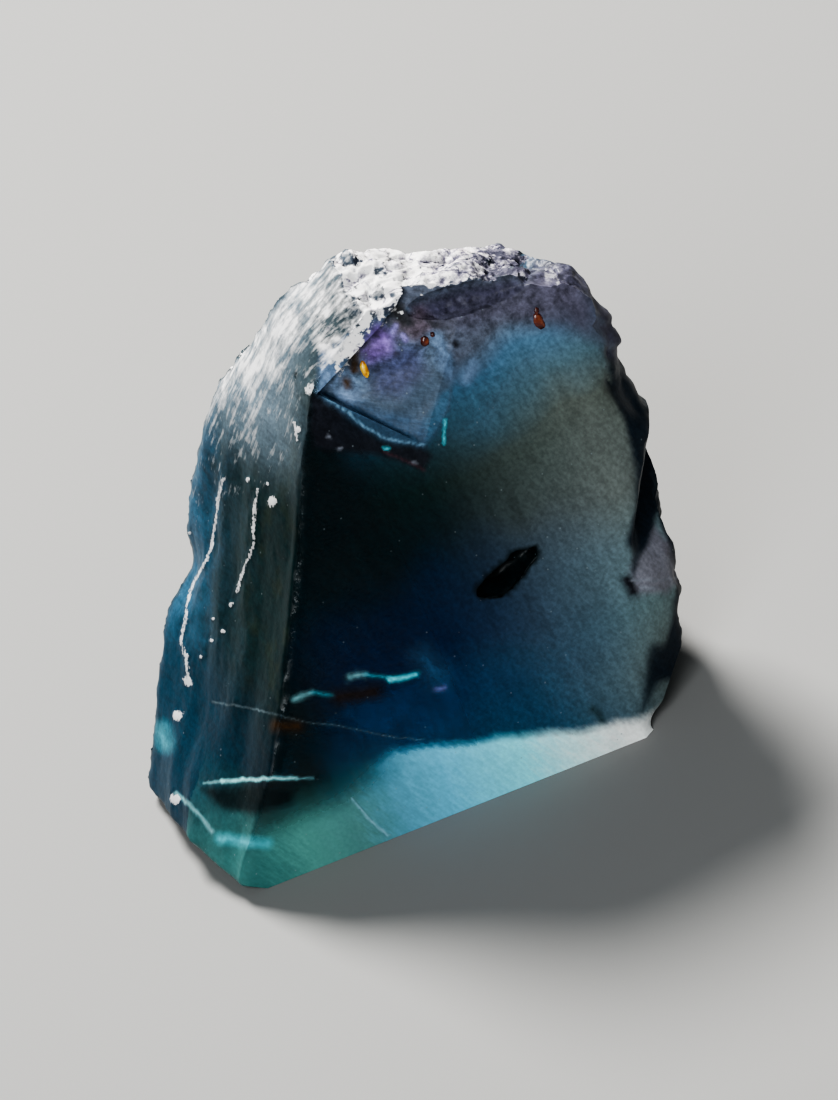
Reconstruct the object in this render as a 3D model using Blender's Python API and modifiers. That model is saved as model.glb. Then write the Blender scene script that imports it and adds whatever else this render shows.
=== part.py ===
"""Rough fluorite: one cleaved stone with a crusty crown, resting on a flat base.

The stone is shaped in millimetres. X runs along the foot of the flat front face, Y away from it
and Z up, with the foot's left end at 0, 0, 0. The finished stone is scaled to metres and moved so
that the middle of its box stands on the origin.
"""

import math

import bmesh
import bpy
from mathutils import Matrix, Vector, noise

MM = 0.001
NAME = "fluorite"

# Driving dimensions, in millimetres and degrees. The front face leans back from upright and
# faces a little to the right. The arete at its left climbs at its slope, and the left side turns
# away from the front there.

CROWN = 33.0
FRONT_LEAN = 15.0
FRONT_TURN = 5.7
ARETE_SLOPE = 61.7
ARETE_TURN = 75.0

# The skin is worked in grains of this size, evened out this many times, which draws it in by the
# rounding, then thinned to this many triangles

GRAIN = 0.45
WEATHERING = 8
ROUNDING = 0.2
FACETS = 15000


def turned(a, b, angle):
    """The direction that is an angle in degrees away from a, towards b."""
    return a * math.cos(math.radians(angle)) + b * math.sin(math.radians(angle))


SIDEWAYS = Vector((1, 0, 0))
AWAY = Vector((0, 1, 0))
UPRIGHT = Vector((0, 0, 1))
LEVEL = turned(SIDEWAYS, AWAY, FRONT_TURN)
FRONT = turned(turned(-AWAY, SIDEWAYS, FRONT_TURN), UPRIGHT, FRONT_LEAN)
UP_FRONT = FRONT.cross(LEVEL)
ARETE = turned(LEVEL, UP_FRONT, ARETE_SLOPE)
LEFT_IN_FRONT = turned(UP_FRONT, -LEVEL, ARETE_SLOPE)
LEFT = turned(FRONT, LEFT_IN_FRONT, ARETE_TURN)
BACKWARD = turned(LEFT_IN_FRONT, -FRONT, ARETE_TURN)
FOOT_CORNER = Vector((23.1, -0.46, 1.22))


def on_front(x, z):
    """The point of the front face at this place across and this height."""
    away = FRONT.x * (x - FOOT_CORNER.x) + FRONT.z * (z - FOOT_CORNER.z)
    return Vector((x, FOOT_CORNER.y - away / FRONT.y, z))


MIDDLE = Vector((14, 9, 15))
CREST = Vector((17.5, 12.0, CROWN))

# The natural skin, as a point and an outward direction for each side of it

SKIN = (
    (on_front(3.0, 7.4), LEFT),
    (on_front(13.7, 27.8), Vector((-0.45, -0.35, 0.82))),
    (CREST, Vector((0.215, -0.277, 0.937))),
    (Vector((25.3, 12.0, 29.0)), Vector((0.452, 0.214, 0.866))),
    (CREST, Vector((0.02, 0.90, 0.43))),
    (Vector((0.3, 16.6, 10.3)), Vector((-0.38, 0.92, -0.05))),
    (Vector((8.0, 17.6, 12.0)), Vector((0.05, 0.99, 0.08))),
    (Vector((24.0, 16.8, 8.0)), Vector((0.35, 0.93, 0.05))),
    (Vector((30.4, 5.5, 20.0)), Vector((0.93, -0.36, 0.06))),
    (Vector((31.8, 9.0, 16.0)), Vector((0.92, 0.38, 0.10))),
    (Vector((30.3, 8.0, 26.2)), Vector((0.90, 0.15, 0.40))),
    (Vector((30.1, 6.0, 8.0)), Vector((0.96, 0.10, -0.26))),
)

# Swells and hollows of the skin, as a place, a reach and a height

LUMPS = (
    (Vector((-1.8, 5.0, 2.0)), 8.0, 1.1),
    (Vector((-3.0, 11.0, 4.0)), 6.0, 0.4),
    (Vector((2.6, 16.6, 13.2)), 4.0, -1.4),
    (Vector((13.0, 17.5, 19.0)), 5.0, -0.7),
    (Vector((7.5, 16.0, 22.5)), 7.0, 0.6),
    (Vector((20.0, 17.5, 14.0)), 7.0, 1.0),
    (Vector((30.0, 14.0, 8.0)), 7.0, -1.2),
    (Vector((32.0, 7.5, 22.0)), 3.0, 0.7),
    (Vector((31.6, 7.0, 15.5)), 4.0, 0.8),
    (Vector((30.6, 9.0, 26.8)), 2.5, 0.6),
    (Vector((24.0, 13.0, 29.5)), 3.0, -0.5),
)

# Flat faces that break through the skin, as a point and an outward direction: the base, the
# front, the strip along its foot, the front and the corner of the lobe at the right, the two
# undercuts at the base and the broken corner at the strip's left end

FLATS = (
    (Vector((0, 0, 0)), -UPRIGHT),
    (FOOT_CORNER, FRONT),
    (FOOT_CORNER, Vector((0, -0.998, -0.05))),
    (on_front(26.6, 7.25), Vector((0.43, -0.90, 0.13))),
    (on_front(26.3, 4.83), Vector((0.665, -0.744, -0.032))),
    (Vector((25.2, 1.0, 0.0)), Vector((0.62, 0.05, -0.78))),
    (Vector((-3.6, 6.5, 1.4)), Vector((-0.80, -0.20, -0.57))),
    (Vector((0, -0.4, 0)), Vector((-0.45, -0.55, -0.70))),
)


def block(middle, size):
    """A mesh that holds one box."""
    mesh = bmesh.new()
    place = Matrix.Translation(middle) @ Matrix.Diagonal((*size, 1))
    bmesh.ops.create_cube(mesh, size=1, matrix=place)
    return mesh


def cut_flat(mesh, point, outward):
    """Removes what lies past a plane and closes the cut with a flat face."""
    cut = bmesh.ops.bisect_plane(
        mesh,
        geom=mesh.verts[:] + mesh.edges[:] + mesh.faces[:],
        plane_co=point,
        plane_no=outward,
        clear_outer=True,
    )
    rim = [item for item in cut["geom_cut"] if isinstance(item, bmesh.types.BMEdge)]
    bmesh.ops.triangle_fill(mesh, edges=rim, use_beauty=True, normal=outward)


def placed(mesh, name, collection):
    """The object of a finished mesh, in its collection."""
    data = bpy.data.meshes.new(name)
    mesh.to_mesh(data)
    mesh.free()
    made = bpy.data.objects.new(name, data)
    collection.objects.link(made)
    return made


def evaluated(made):
    """The mesh of an object with its modifiers, for further shaping."""
    mesh = bmesh.new()
    mesh.from_object(made, bpy.context.evaluated_depsgraph_get())
    return mesh


def regrained(mesh, collection):
    """The same solid with its surface in even small squares."""
    helper = placed(mesh, "helper", collection)
    remesh = helper.modifiers.new("grain", "REMESH")
    remesh.mode = "VOXEL"
    remesh.voxel_size = GRAIN
    fine = evaluated(helper)
    bpy.data.objects.remove(helper)
    return fine


def thinned(mesh, collection, triangles):
    """The same solid with fewer triangles, most of them where the surface is roughest."""
    helper = placed(mesh, "helper", collection)
    decimate = helper.modifiers.new("thin", "DECIMATE")
    decimate.ratio = triangles / sum(len(face.vertices) - 2 for face in helper.data.polygons)
    decimate.use_collapse_triangulate = True
    coarse = evaluated(helper)
    bpy.data.objects.remove(helper)
    return coarse


def fade(value, start, end):
    """0 before start, 1 past end, and a smooth climb between them."""
    t = min(max((value - start) / (end - start), 0), 1)
    return t * t * (3 - 2 * t)


def lump(point):
    """The height that the swells and hollows give the skin at a point."""
    height = 0
    for middle, reach, rise in LUMPS:
        height += rise * fade((point - middle).length, reach, 0)
    return height


def ridges(point):
    """Low ridges that climb the left side, beside the arete."""
    across = point.dot(BACKWARD)
    along = point.dot(ARETE)
    wander = 1.6 * noise.noise(Vector((along * 0.16, across * 0.1, 3.0)))
    wave = noise.noise(Vector(((across + wander) * 0.42, along * 0.09, 7.0)))
    return 0.5 * wave + 0.1 * noise.noise(point * 0.9)


def crust(point):
    """Knobs, pits and cracks of the white crust on the crown."""
    knobs = noise.turbulence(point * 0.5, 2, False)
    pits = fade(noise.noise(point * 1.1 + Vector((9, 4, 2))), 0.15, 0.5)
    return 0.7 * knobs - 0.35 * pits - 0.35


def fracture(point):
    """Broken ground in low steps, which follow the cleavage."""
    swell = 1.3 * noise.noise(point * 0.17 + Vector((2, 5, 1))) + 0.12 * point.dot(ARETE)
    step = swell * 1.6
    low = math.floor(step)
    terrace = (low + fade(step - low, 0.35, 0.65)) / 1.6 - 0.12 * point.dot(ARETE)
    return 0.75 * terrace + 0.35 * noise.noise(point * 0.6) + 0.12 * noise.noise(point * 1.5)


def weathered(mesh):
    """Rounds off the edges between the skin's sides."""
    for _ in range(WEATHERING):
        bmesh.ops.smooth_vert(
            mesh, verts=mesh.verts, factor=0.5, use_axis_x=True, use_axis_y=True, use_axis_z=True
        )


def roughen(mesh):
    """Moves the skin in and out: ridged at the left, crusty on the crown, broken elsewhere."""
    mesh.normal_update()
    moves = []
    for vertex in mesh.verts:
        point, outward = vertex.co, vertex.normal
        left = fade(outward.dot(LEFT), 0.6, 0.9)
        crown = fade(outward.z, 0.45, 0.75) * fade(point.z, 22, 27) * (1 - left)
        rest = (1 - left) * (1 - crown)
        height = ROUNDING + lump(point) + left * ridges(point)
        height += crown * crust(point) + rest * fracture(point)
        moves.append(outward * height)
    for vertex, move in zip(mesh.verts, moves):
        vertex.co += move


def shape_with(name, stone, mesh, collection, operation="DIFFERENCE"):
    """Takes a closed mesh away from the stone, or keeps only what is inside it."""
    tool = placed(mesh, name, collection)
    tool.hide_render = True
    tool.display_type = "WIRE"
    tool.scale = (MM, MM, MM)
    boolean = stone.modifiers.new(name, "BOOLEAN")
    boolean.operation = operation
    boolean.solver = "EXACT"
    boolean.object = tool


def wedge(middle, size, sides):
    """A box cut down to what lies behind every given side, each a point and a direction."""
    mesh = block(middle, size)
    for point, outward in sides:
        cut_flat(mesh, point, outward)
    return mesh


def chip():
    """The scar at the top left of the front: a sloping floor, a left wall and a crust brow."""
    tip, lip = on_front(18.7, 22.2), on_front(20.1, 30.3)
    sides = (
        (tip, Vector((0.117, 0.906, -0.407))),
        (tip, Vector((-0.749, -0.241, -0.617))),
        (lip, Vector((-0.33, -0.25, 0.91))),
    )
    return wedge(tip, (40, 40, 40), sides)


def notch():
    """The gap in the right side, above the lobe."""
    corner = on_front(27.7, 10.2)
    ledge = Vector((-0.633, 0.521, -0.571))
    cheek = Vector((-0.87, 0.12, 0.48))
    return wedge(corner, (30, 30, 30), ((corner, ledge), (corner, cheek)))


def hollow(middle, tilt, size):
    """A flattened ball that scoops a hollow out of the front face."""
    mesh = bmesh.new()
    bmesh.ops.create_icosphere(mesh, subdivisions=3, radius=1)
    place = Matrix.Translation(middle) @ Matrix.Rotation(math.radians(tilt), 4, "Y")
    bmesh.ops.transform(mesh, matrix=place @ Matrix.Diagonal((*size, 1)), verts=mesh.verts)
    return mesh


def fluorite_material():
    """Clear blue-green crystal, seen as its middle tone."""
    material = bpy.data.materials.new("fluorite_crystal")
    material.use_nodes = True
    shader = material.node_tree.nodes["Principled BSDF"]
    shader.inputs["Base Color"].default_value = (0.06, 0.22, 0.27, 1)
    shader.inputs["Roughness"].default_value = 0.25
    shader.inputs["Metallic"].default_value = 0
    shader.inputs["IOR"].default_value = 1.434
    shader.inputs["Transmission Weight"].default_value = 0.6
    material.diffuse_color = (0.06, 0.22, 0.27, 1)
    return material


def build_stone(parts, cutters):
    """The stone: a block cut to its sides, roughened, then cleaved flat and chipped."""
    mesh = regrained(wedge(MIDDLE, (50, 32, 40), SKIN), parts)
    weathered(mesh)
    roughen(mesh)
    mesh = thinned(mesh, parts, FACETS)
    stone = placed(mesh, NAME, parts)
    stone.scale = (MM, MM, MM)
    cleaved = wedge(MIDDLE, (60, 60, 60), FLATS)
    shape_with("cleavage_block", stone, cleaved, cutters, "INTERSECT")
    shape_with("chip_cutter", stone, chip(), cutters)
    shape_with("notch_cutter", stone, notch(), cutters)
    groove = hollow(on_front(24.0, 29.2), 9, (4.6, 1.0, 1.0))
    shape_with("groove_cutter", stone, groove, cutters)
    pit = hollow(on_front(20.6, 13.0), -14, (2.4, 1.1, 0.75))
    shape_with("pit_cutter", stone, pit, cutters)
    stone.data.materials.append(fluorite_material())
    return stone


def stand_on_origin(stone, cutters):
    """Moves stone and cutters so that the middle of the stone's box stands on the origin."""
    bpy.context.view_layer.update()
    mesh = evaluated(stone)
    for axis in range(3):
        places = [vertex.co[axis] * MM for vertex in mesh.verts]
        shift = -min(places) if axis == 2 else -(min(places) + max(places)) / 2
        for each in (stone, *cutters.objects):
            each.location[axis] = shift
    mesh.free()


def main():
    for left_over in list(bpy.data.objects):
        bpy.data.objects.remove(left_over)
    parts = bpy.data.collections.new(NAME)
    cutters = bpy.data.collections.new("cutters")
    bpy.context.scene.collection.children.link(parts)
    bpy.context.scene.collection.children.link(cutters)
    stone = build_stone(parts, cutters)
    stand_on_origin(stone, cutters)


main()
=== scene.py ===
"""Looks of the rough fluorite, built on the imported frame.

Lengths are in millimetres in the stone's own measures, as in the part's source: X along the foot
of the front face, Y away from it, Z up, from the foot's left end. The mesh is scaled to metres
and moved to the frame at the end. Marks on the sides in view are laid out as they are seen: how
far right of the foot's left end, and how far up across the line of sight.
"""

import heapq
import itertools
import math

import bmesh
import bpy
import numpy as np
from mathutils import Matrix, Vector, geometry, kdtree, noise


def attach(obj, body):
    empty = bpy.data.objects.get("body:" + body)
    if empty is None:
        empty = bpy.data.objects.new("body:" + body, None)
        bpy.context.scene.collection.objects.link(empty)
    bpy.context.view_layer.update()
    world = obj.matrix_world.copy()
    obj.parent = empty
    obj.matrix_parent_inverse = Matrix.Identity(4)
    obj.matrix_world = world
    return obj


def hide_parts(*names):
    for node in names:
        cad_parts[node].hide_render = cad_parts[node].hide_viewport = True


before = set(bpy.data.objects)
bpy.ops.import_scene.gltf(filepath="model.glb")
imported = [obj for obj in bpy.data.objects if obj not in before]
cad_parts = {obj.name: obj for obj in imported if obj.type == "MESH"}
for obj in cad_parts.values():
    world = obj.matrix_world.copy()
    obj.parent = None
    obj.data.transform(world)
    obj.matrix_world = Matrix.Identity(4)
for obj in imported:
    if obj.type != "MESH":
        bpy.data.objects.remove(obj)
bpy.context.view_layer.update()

MM = 0.001

# One seed, so that each run draws the same uneven shapes

SEED = 1
noise.seed_set(SEED)

# The stone's own directions, as in the part's source

FRONT_LEAN = 15.0
FRONT_TURN = 5.7
ARETE_SLOPE = 61.7
ARETE_TURN = 75.0


def turned(a, b, angle):
    """The direction that is an angle in degrees away from a, towards b."""
    return a * math.cos(math.radians(angle)) + b * math.sin(math.radians(angle))


SIDEWAYS = Vector((1, 0, 0))
AWAY = Vector((0, 1, 0))
UPRIGHT = Vector((0, 0, 1))
LEVEL = turned(SIDEWAYS, AWAY, FRONT_TURN)
FRONT = turned(turned(-AWAY, SIDEWAYS, FRONT_TURN), UPRIGHT, FRONT_LEAN)
UP_FRONT = FRONT.cross(LEVEL)
ARETE = turned(LEVEL, UP_FRONT, ARETE_SLOPE)
LEFT_IN_FRONT = turned(UP_FRONT, -LEVEL, ARETE_SLOPE)
LEFT = turned(FRONT, LEFT_IN_FRONT, ARETE_TURN)
BACKWARD = turned(LEFT_IN_FRONT, -FRONT, ARETE_TURN)
FOOT_CORNER = Vector((23.1, -0.46, 1.22))
FOOT_END = Vector((-13.652, -9.115, 0))

# The direction of sight, and the one that stands across it

LOOK_DOWN = 33.0
SIGHT = turned(AWAY, -UPRIGHT, LOOK_DOWN)
UP_SIGHT = turned(UPRIGHT, AWAY, LOOK_DOWN)


def on_front(x, z):
    """The point of the front face at this place across and this height."""
    away = FRONT.x * (x - FOOT_CORNER.x) + FRONT.z * (z - FOOT_CORNER.z)
    return Vector((x, FOOT_CORNER.y - away / FRONT.y, z))


ARETE_FOOT = on_front(0, 1.71)
CHIP_TIP = on_front(18.7, 22.2)
PIT = on_front(20.6, 13.0)


def fade(value, start, end):
    """0 before start, 1 past end, and a smooth climb between them."""
    t = np.clip((value - start) / (end - start), 0, 1)
    return t * t * (3 - 2 * t)


def seen(point):
    """Where a point is seen: how far across, and how far up the sight."""
    return point.x, point.dot(UP_SIGHT)


# Flat faces of the stone, by the direction that each one looks in

FLATS = {
    "base": -UPRIGHT,
    "front": FRONT,
    "strip": Vector((0, -0.998, -0.05)),
    "lobe_front": Vector((0.43, -0.90, 0.13)),
    "lobe_corner": Vector((0.665, -0.744, -0.032)),
    "lobe_under": Vector((0.62, 0.05, -0.78)),
    "left_under": Vector((-0.80, -0.20, -0.57)),
    "foot_corner": Vector((-0.45, -0.55, -0.70)),
    "chip_floor": Vector((-0.117, -0.906, 0.407)),
    "chip_wall": Vector((0.749, 0.241, 0.617)),
    "chip_brow": Vector((0.33, 0.25, -0.91)),
    "ledge": Vector((0.633, -0.521, 0.571)),
    "cheek": Vector((0.87, -0.12, -0.48)),
}
NUMBER = {name: number for number, name in enumerate(FLATS, start=1)}
SKIN = 0

# White veins and specks of the left side, as seen: paths as u, v, u, v and so on, and spots with a radius

VEIN_REACH = 0.27
VEINS = (
    (6.7, 23.9, 5.8, 22.7, 4.9, 21.1, 4.5, 20.4, 3.9, 19.7, 2.5, 18.7, 1.7, 17.7, 1.1, 16.5, 0.5, 15.7,
     0.4, 14.6, 0.0, 13.2),
    (8.4, 22.4, 7.6, 21.1, 7.2, 20.0, 6.9, 19.4, 5.9, 18.4, 4.9, 17.2),
    (12.0, 25.3, 11.8, 24.3),
)
SPECKS = (
    (9.0, 21.4, 0.42), (8.1, 23.2, 0.2), (9.1, 22.5, 0.16), (12.0, 24.8, 0.26),
    (13.7, 26.7, 0.5), (-1.4, 11.5, 0.42), (0.0, 13.2, 0.4), (0.5, 14.7, 0.24),
    (2.3, 15.0, 0.16), (1.3, 14.3, 0.16), (3.2, 15.3, 0.18), (2.9, 16.2, 0.15),
    (4.3, 16.6, 0.2), (-3.4, 6.8, 0.4), (2.7, 20.6, 0.14), (3.4, 21.6, 0.14),
)

# Tones of the marks inside the crystal, among them painted glints and painted shade

# Painted glints: light glancing off cracks inside the crystal, painted as colour, and one soft painted
# glow
CYAN_GLINT = (0.12, 0.62, 0.72)
PALE_CYAN_GLINT = (0.34, 0.72, 0.74)
DULL_CYAN_GLINT = (0.20, 0.42, 0.45)
SEA_GLINT = (0.10, 0.46, 0.52)
DIM_CYAN_GLINT = (0.08, 0.34, 0.42)
# Painted shade: a dark reflection under a crack glint, the dark of the pit, the shaded undersides and
# rims of the lobe and the right flank, a notch, the wedge under the chip, the brow under the crown, and
# one dark spot
SHADE_BLACK = (0.002, 0.009, 0.011)
SHADE_NIGHT = (0.010, 0.020, 0.032)
INK_SHADE = (0.016, 0.017, 0.024)
SKY = (0.18, 0.27, 0.42)
CHIP_GREY = (0.085, 0.125, 0.180)
CHIP_BLUE = (0.058, 0.112, 0.190)
CHIP_RIM = (0.115, 0.180, 0.290)
# Painted shade in the crease below the chip's edge
CHIP_CREASE_SHADE = (0.040, 0.080, 0.130)
TIP_BLUE = (0.070, 0.150, 0.235)
HAZE_BLUE = (0.04, 0.13, 0.26)
LILAC = (0.30, 0.26, 0.62)
VIOLET = (0.20, 0.105, 0.38)
INDIGO = (0.070, 0.080, 0.165)
PLUM = (0.110, 0.080, 0.105)
# Painted shade under the crown's overhanging rind
UNDER_CRUST_SHADE = (0.055, 0.052, 0.090)
GREY_VIOLET = (0.095, 0.090, 0.13)
SLATE = (0.23, 0.225, 0.27)
BROWN = (0.045, 0.022, 0.008)
DARK_BROWN = (0.020, 0.012, 0.008)
DARK_RED = (0.060, 0.030, 0.040)
# Pale grey of scratches on the lobe, and of painted glints in the wedge below the chip
SCRATCH_AND_GLINT_GREY = (0.26, 0.28, 0.33)
# A violet painted glint of a crack
VIOLET_GLINT = (0.17, 0.18, 0.40)
CHIP_GLINT = (0.20, 0.36, 0.50)
GREY_GLINT = (0.12, 0.17, 0.19)
STRIP_SPOT = (0.03, 0.06, 0.07)
STRIP_GLINT = (0.30, 0.56, 0.66)

# Tinted areas, as seen, some of them painted shade: how soft the rim is, tone, strength, and the outline,
# as u, v, u, v

AREAS = (
    (0.8, GREY_VIOLET, 0.88, 19.6, 28.7, 21.6, 29.0, 24.7, 28.7, 27.6, 28.1, 30.0, 28.3, 31.0, 26.9,
     31.2, 25.2, 30.4, 23.4, 28.1, 25.1, 26.0, 26.3, 23.7, 26.6, 21.6, 27.4),
    (0.6, GREY_VIOLET, 0.75, 28.8, 29.4, 31.5, 28.0, 32.0, 25.3, 33.0, 22.7, 32.3, 20.0, 31.2, 21.5,
     30.3, 24.2, 29.2, 26.2, 27.9, 27.4),
    # Painted shade under the crown's overhanging rind
    (0.4, UNDER_CRUST_SHADE, 0.8, 20.2, 29.2, 24.5, 29.0, 27.6, 28.3, 27.6, 27.6, 24.5, 27.9, 21.8, 28.1,
     20.7, 27.8),
    (0.14, CHIP_GREY, 1.0, 14.1, 26.4, 15.7, 23.6, 16.8, 22.3, 18.7, 21.2, 20.9, 22.6, 22.2, 25.0, 22.0,
     27.6, 20.8, 29.2, 18.8, 29.4, 16.6, 29.0, 15.1, 28.7),
    (0.4, SKY, 0.9, 15.1, 28.6, 14.0, 26.4, 15.0, 24.6, 15.9, 24.2, 16.4, 25.3, 16.2, 27.4),
    (0.35, CHIP_BLUE, 0.9, 14.9, 24.8, 15.6, 23.6, 16.8, 22.2, 18.7, 21.0, 20.3, 22.2, 18.7, 22.9, 17.0,
     24.0, 16.0, 25.2),
    (0.7, INDIGO, 0.9, 17.3, 26.6, 19.6, 27.6, 20.7, 26.6, 20.3, 25.1, 18.4, 24.4, 17.1, 25.2),
    (0.5, VIOLET, 0.85, 17.2, 27.9, 18.7, 28.9, 19.6, 28.1, 18.9, 27.0, 17.5, 26.9),
    (0.5, PLUM, 0.9, 19.5, 28.9, 21.6, 28.9, 22.0, 27.4, 20.6, 27.0, 19.8, 27.7),
    (0.35, CHIP_RIM, 0.8, 21.4, 27.2, 22.3, 27.0, 22.1, 24.7, 21.6, 24.0, 21.1, 25.4),
    (0.25, TIP_BLUE, 0.9, 18.9, 21.2, 20.9, 22.6, 21.6, 23.9, 20.8, 23.7, 19.2, 22.4),
    # Painted shade in the crease below the chip's edge, and the painted shadow of the wedge under it
    (0.15, CHIP_CREASE_SHADE, 0.9, 14.0, 26.2, 15.6, 23.5, 16.8, 22.1, 18.6, 21.0, 18.8, 21.6, 17.0, 22.9, 15.9,
     24.1, 14.5, 26.4),
    (0.25, INK_SHADE, 0.95, 13.6, 26.4, 13.9, 26.2, 15.6, 23.5, 16.7, 22.1, 18.7, 21.0, 18.9, 20.4, 18.1,
     19.8, 16.8, 21.0, 15.1, 22.1, 13.4, 22.9, 12.5, 23.5, 12.8, 25.0),
    # Painted dark reflection under the crack glint at the foot's left
    (0.35, SHADE_BLACK, 0.95, -1.5, 6.8, 1.8, 5.9, 3.9, 4.8, 3.3, 4.0, 1.1, 4.3, -0.8, 5.3),
    (0.9, HAZE_BLUE, 0.75, 13.3, 9.8, 14.3, 9.9, 15.0, 8.2, 14.7, 7.3, 13.7, 7.7),
    (0.3, SLATE, 0.9, 29.7, 12.0, 27.5, 9.6, 27.2, 8.2, 29.0, 7.5, 30.0, 7.8, 30.3, 10.3),
    # Painted shade of the lobe's underside and of its rim
    (0.35, SHADE_NIGHT, 0.95, 27.0, 4.9, 29.0, 4.3, 27.3, 3.1, 25.1, 1.4, 25.9, 3.1),
    (0.25, SHADE_NIGHT, 0.9, 29.6, 13.3, 30.8, 12.8, 29.5, 11.4, 27.6, 9.2, 27.5, 9.5, 28.5, 11.3),
)

# Where the rind of the crown hangs over the chip, as seen

OVERHANG = (14.9, 29.6, 14.3, 27.8, 15.4, 27.0, 16.6, 27.1, 17.6, 28.2, 18.8, 28.9, 20.4, 28.9, 20.4,
            29.8, 17.0, 30.2)

# Lines and dots inside the crystal, as seen, many of them painted glints and painted shade: width, how
# soft the rim is, tone, and the path

STROKES = (
    # Painted shade along the rim of the lobe and the right flank
    (0.6, 0.3, SHADE_NIGHT, 30.8, 11.6, 30.7, 9.5, 30.5, 7.8),
    (1.3, 0.35, SHADE_NIGHT, 30.1, 6.7, 29.3, 5.3, 28.4, 4.2, 27.3, 3.2),
    (1.2, 0.35, SHADE_NIGHT, 31.3, 21.0, 31.2, 20.0, 31.1, 17.5, 30.7, 15.0, 29.9, 12.8, 28.6, 11.1),
    # Painted shade in a notch, then scratches on the lobe
    (0.5, 0.3, INK_SHADE, 27.1, 9.1, 27.2, 8.3),
    (0.14, 0.16, SCRATCH_AND_GLINT_GREY, 27.7, 8.35, 28.5, 8.05),
    (0.05, 0.12, SCRATCH_AND_GLINT_GREY, 27.3, 9.0, 28.4, 8.6, 30.0, 8.1),
    # Painted glints in the wedge below the chip
    (0.1, 0.12, SCRATCH_AND_GLINT_GREY, 13.5, 23.8, 13.6, 23.7),
    (0.08, 0.12, SCRATCH_AND_GLINT_GREY, 13.9, 22.8, 14.0, 22.8),
    (0.08, 0.12, CYAN_GLINT, 16.4, 21.9, 16.6, 21.8),
    (0.08, 0.12, SCRATCH_AND_GLINT_GREY, 17.6, 20.5, 17.8, 20.4),
    (0.08, 0.12, DARK_RED, 16.3, 21.7, 17.3, 20.7, 18.2, 19.8),
    # Painted glints of cracks at the foot and low in the front
    (0.06, 0.12, DULL_CYAN_GLINT, -1.3, 7.1, -0.2, 6.8),
    (0.13, 0.15, PALE_CYAN_GLINT, -0.2, 6.8, 0.9, 6.5, 2.9, 5.9, 4.2, 5.4),
    (0.06, 0.15, DULL_CYAN_GLINT, 4.2, 5.4, 5.1, 5.0),
    (0.3, 0.45, SEA_GLINT, -1.6, 3.65, 1.0, 2.35),
    (0.16, 0.28, DULL_CYAN_GLINT, 5.8, 9.9, 6.9, 9.9),
    (0.05, 0.25, DIM_CYAN_GLINT, 6.9, 9.9, 8.0, 9.3),
    (0.14, 0.3, DULL_CYAN_GLINT, 9.4, 9.9, 10.3, 9.7),
    (0.08, 0.22, DIM_CYAN_GLINT, 10.3, 9.7, 11.6, 8.9),
    (0.22, 0.2, CYAN_GLINT, 11.6, 8.85, 13.1, 8.5),
    (0.06, 0.3, VIOLET_GLINT, 13.9, 7.3, 14.4, 7.1),
    (0.1, 0.14, CYAN_GLINT, 20.4, 22.1, 19.8, 20.8),
    (0.3, 0.5, SKY, 22.5, 23.9, 23.2, 24.5),
    (0.05, 0.1, CHIP_GLINT, 14.1, 26.3, 15.0, 25.0, 15.7, 23.6, 16.8, 22.3, 18.7, 21.2),
    (0.03, 0.1, GREY_GLINT, 1.0, 11.5, 3.2, 10.3, 5.6, 8.6, 8.2, 7.1, 9.9, 5.9, 12.1, 4.7),
    (0.25, 0.4, STRIP_SPOT, 22.3, 2.6, 22.6, 1.8),
    (0.05, 0.12, STRIP_GLINT, 6.8, 3.0, 7.3, 1.35, 8.0, 0.1),
    (0.6, 0.7, DARK_BROWN, 8.4, 9.0, 10.5, 8.5),
    (0.4, 0.5, BROWN, 4.2, 8.8, 5.4, 8.3),
    (0.12, 0.18, DULL_CYAN_GLINT, -3.2, 7.1, -2.4, 5.7, -1.9, 4.2),
    # A soft painted glow
    (0.4, 0.8, DIM_CYAN_GLINT, -2.7, 11.0, -2.8, 10.2),
    (0.45, 0.25, BROWN, 15.8, 26.5, 15.8, 26.2),
    (0.5, 0.2, BROWN, 16.9, 27.9, 16.5, 26.9),
    (0.16, 0.2, LILAC, 19.4, 28.2, 19.7, 28.4),
    (0.16, 0.2, LILAC, 19.9, 27.7, 20.0, 27.4),
    # Painted shade under the crown's brow, and a dark spot
    (0.7, 0.3, INK_SHADE, 20.2, 29.1, 20.5, 28.4),
    (0.25, 0.2, INK_SHADE, 22.7, 26.1, 22.7, 26.0),
)


# How far flat points are from the marks

def gap_to(spots, path):
    """How far each flat point is from a path, given as u, v, u, v and so on."""
    corners = np.reshape(path, (-1, 2))
    best = np.full(len(spots), np.inf)
    for a, b in zip(corners, corners[1:]):
        run = b - a
        t = np.clip((spots - a) @ run / (run @ run), 0, 1)
        best = np.minimum(best, np.linalg.norm(spots - a - t[:, None] * run, axis=1))
    return best


def depth_in(spots, outline):
    """How far inside a closed outline each flat point is, or minus how far outside."""
    closed = (*outline, *outline[:2])
    corners = np.reshape(closed, (-1, 2))
    crossings = np.zeros(len(spots), int)
    for (ax, ay), (bx, by) in zip(corners, corners[1:]):
        spans = (ay > spots[:, 1]) != (by > spots[:, 1])
        rise = by - ay if by != ay else 1
        crossings += spans & (spots[:, 0] < ax + (spots[:, 1] - ay) * (bx - ax) / rise)
    gap = gap_to(spots, closed)
    return np.where(crossings % 2 == 1, gap, -gap)


# The marks' gaps in a fine grid over the stone's picture, to look up quickly

GRID_STEP = 0.25
GRID_LOW = np.array((-8.0, -4.0))
GRID_SIZE = (170, 170)


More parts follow.
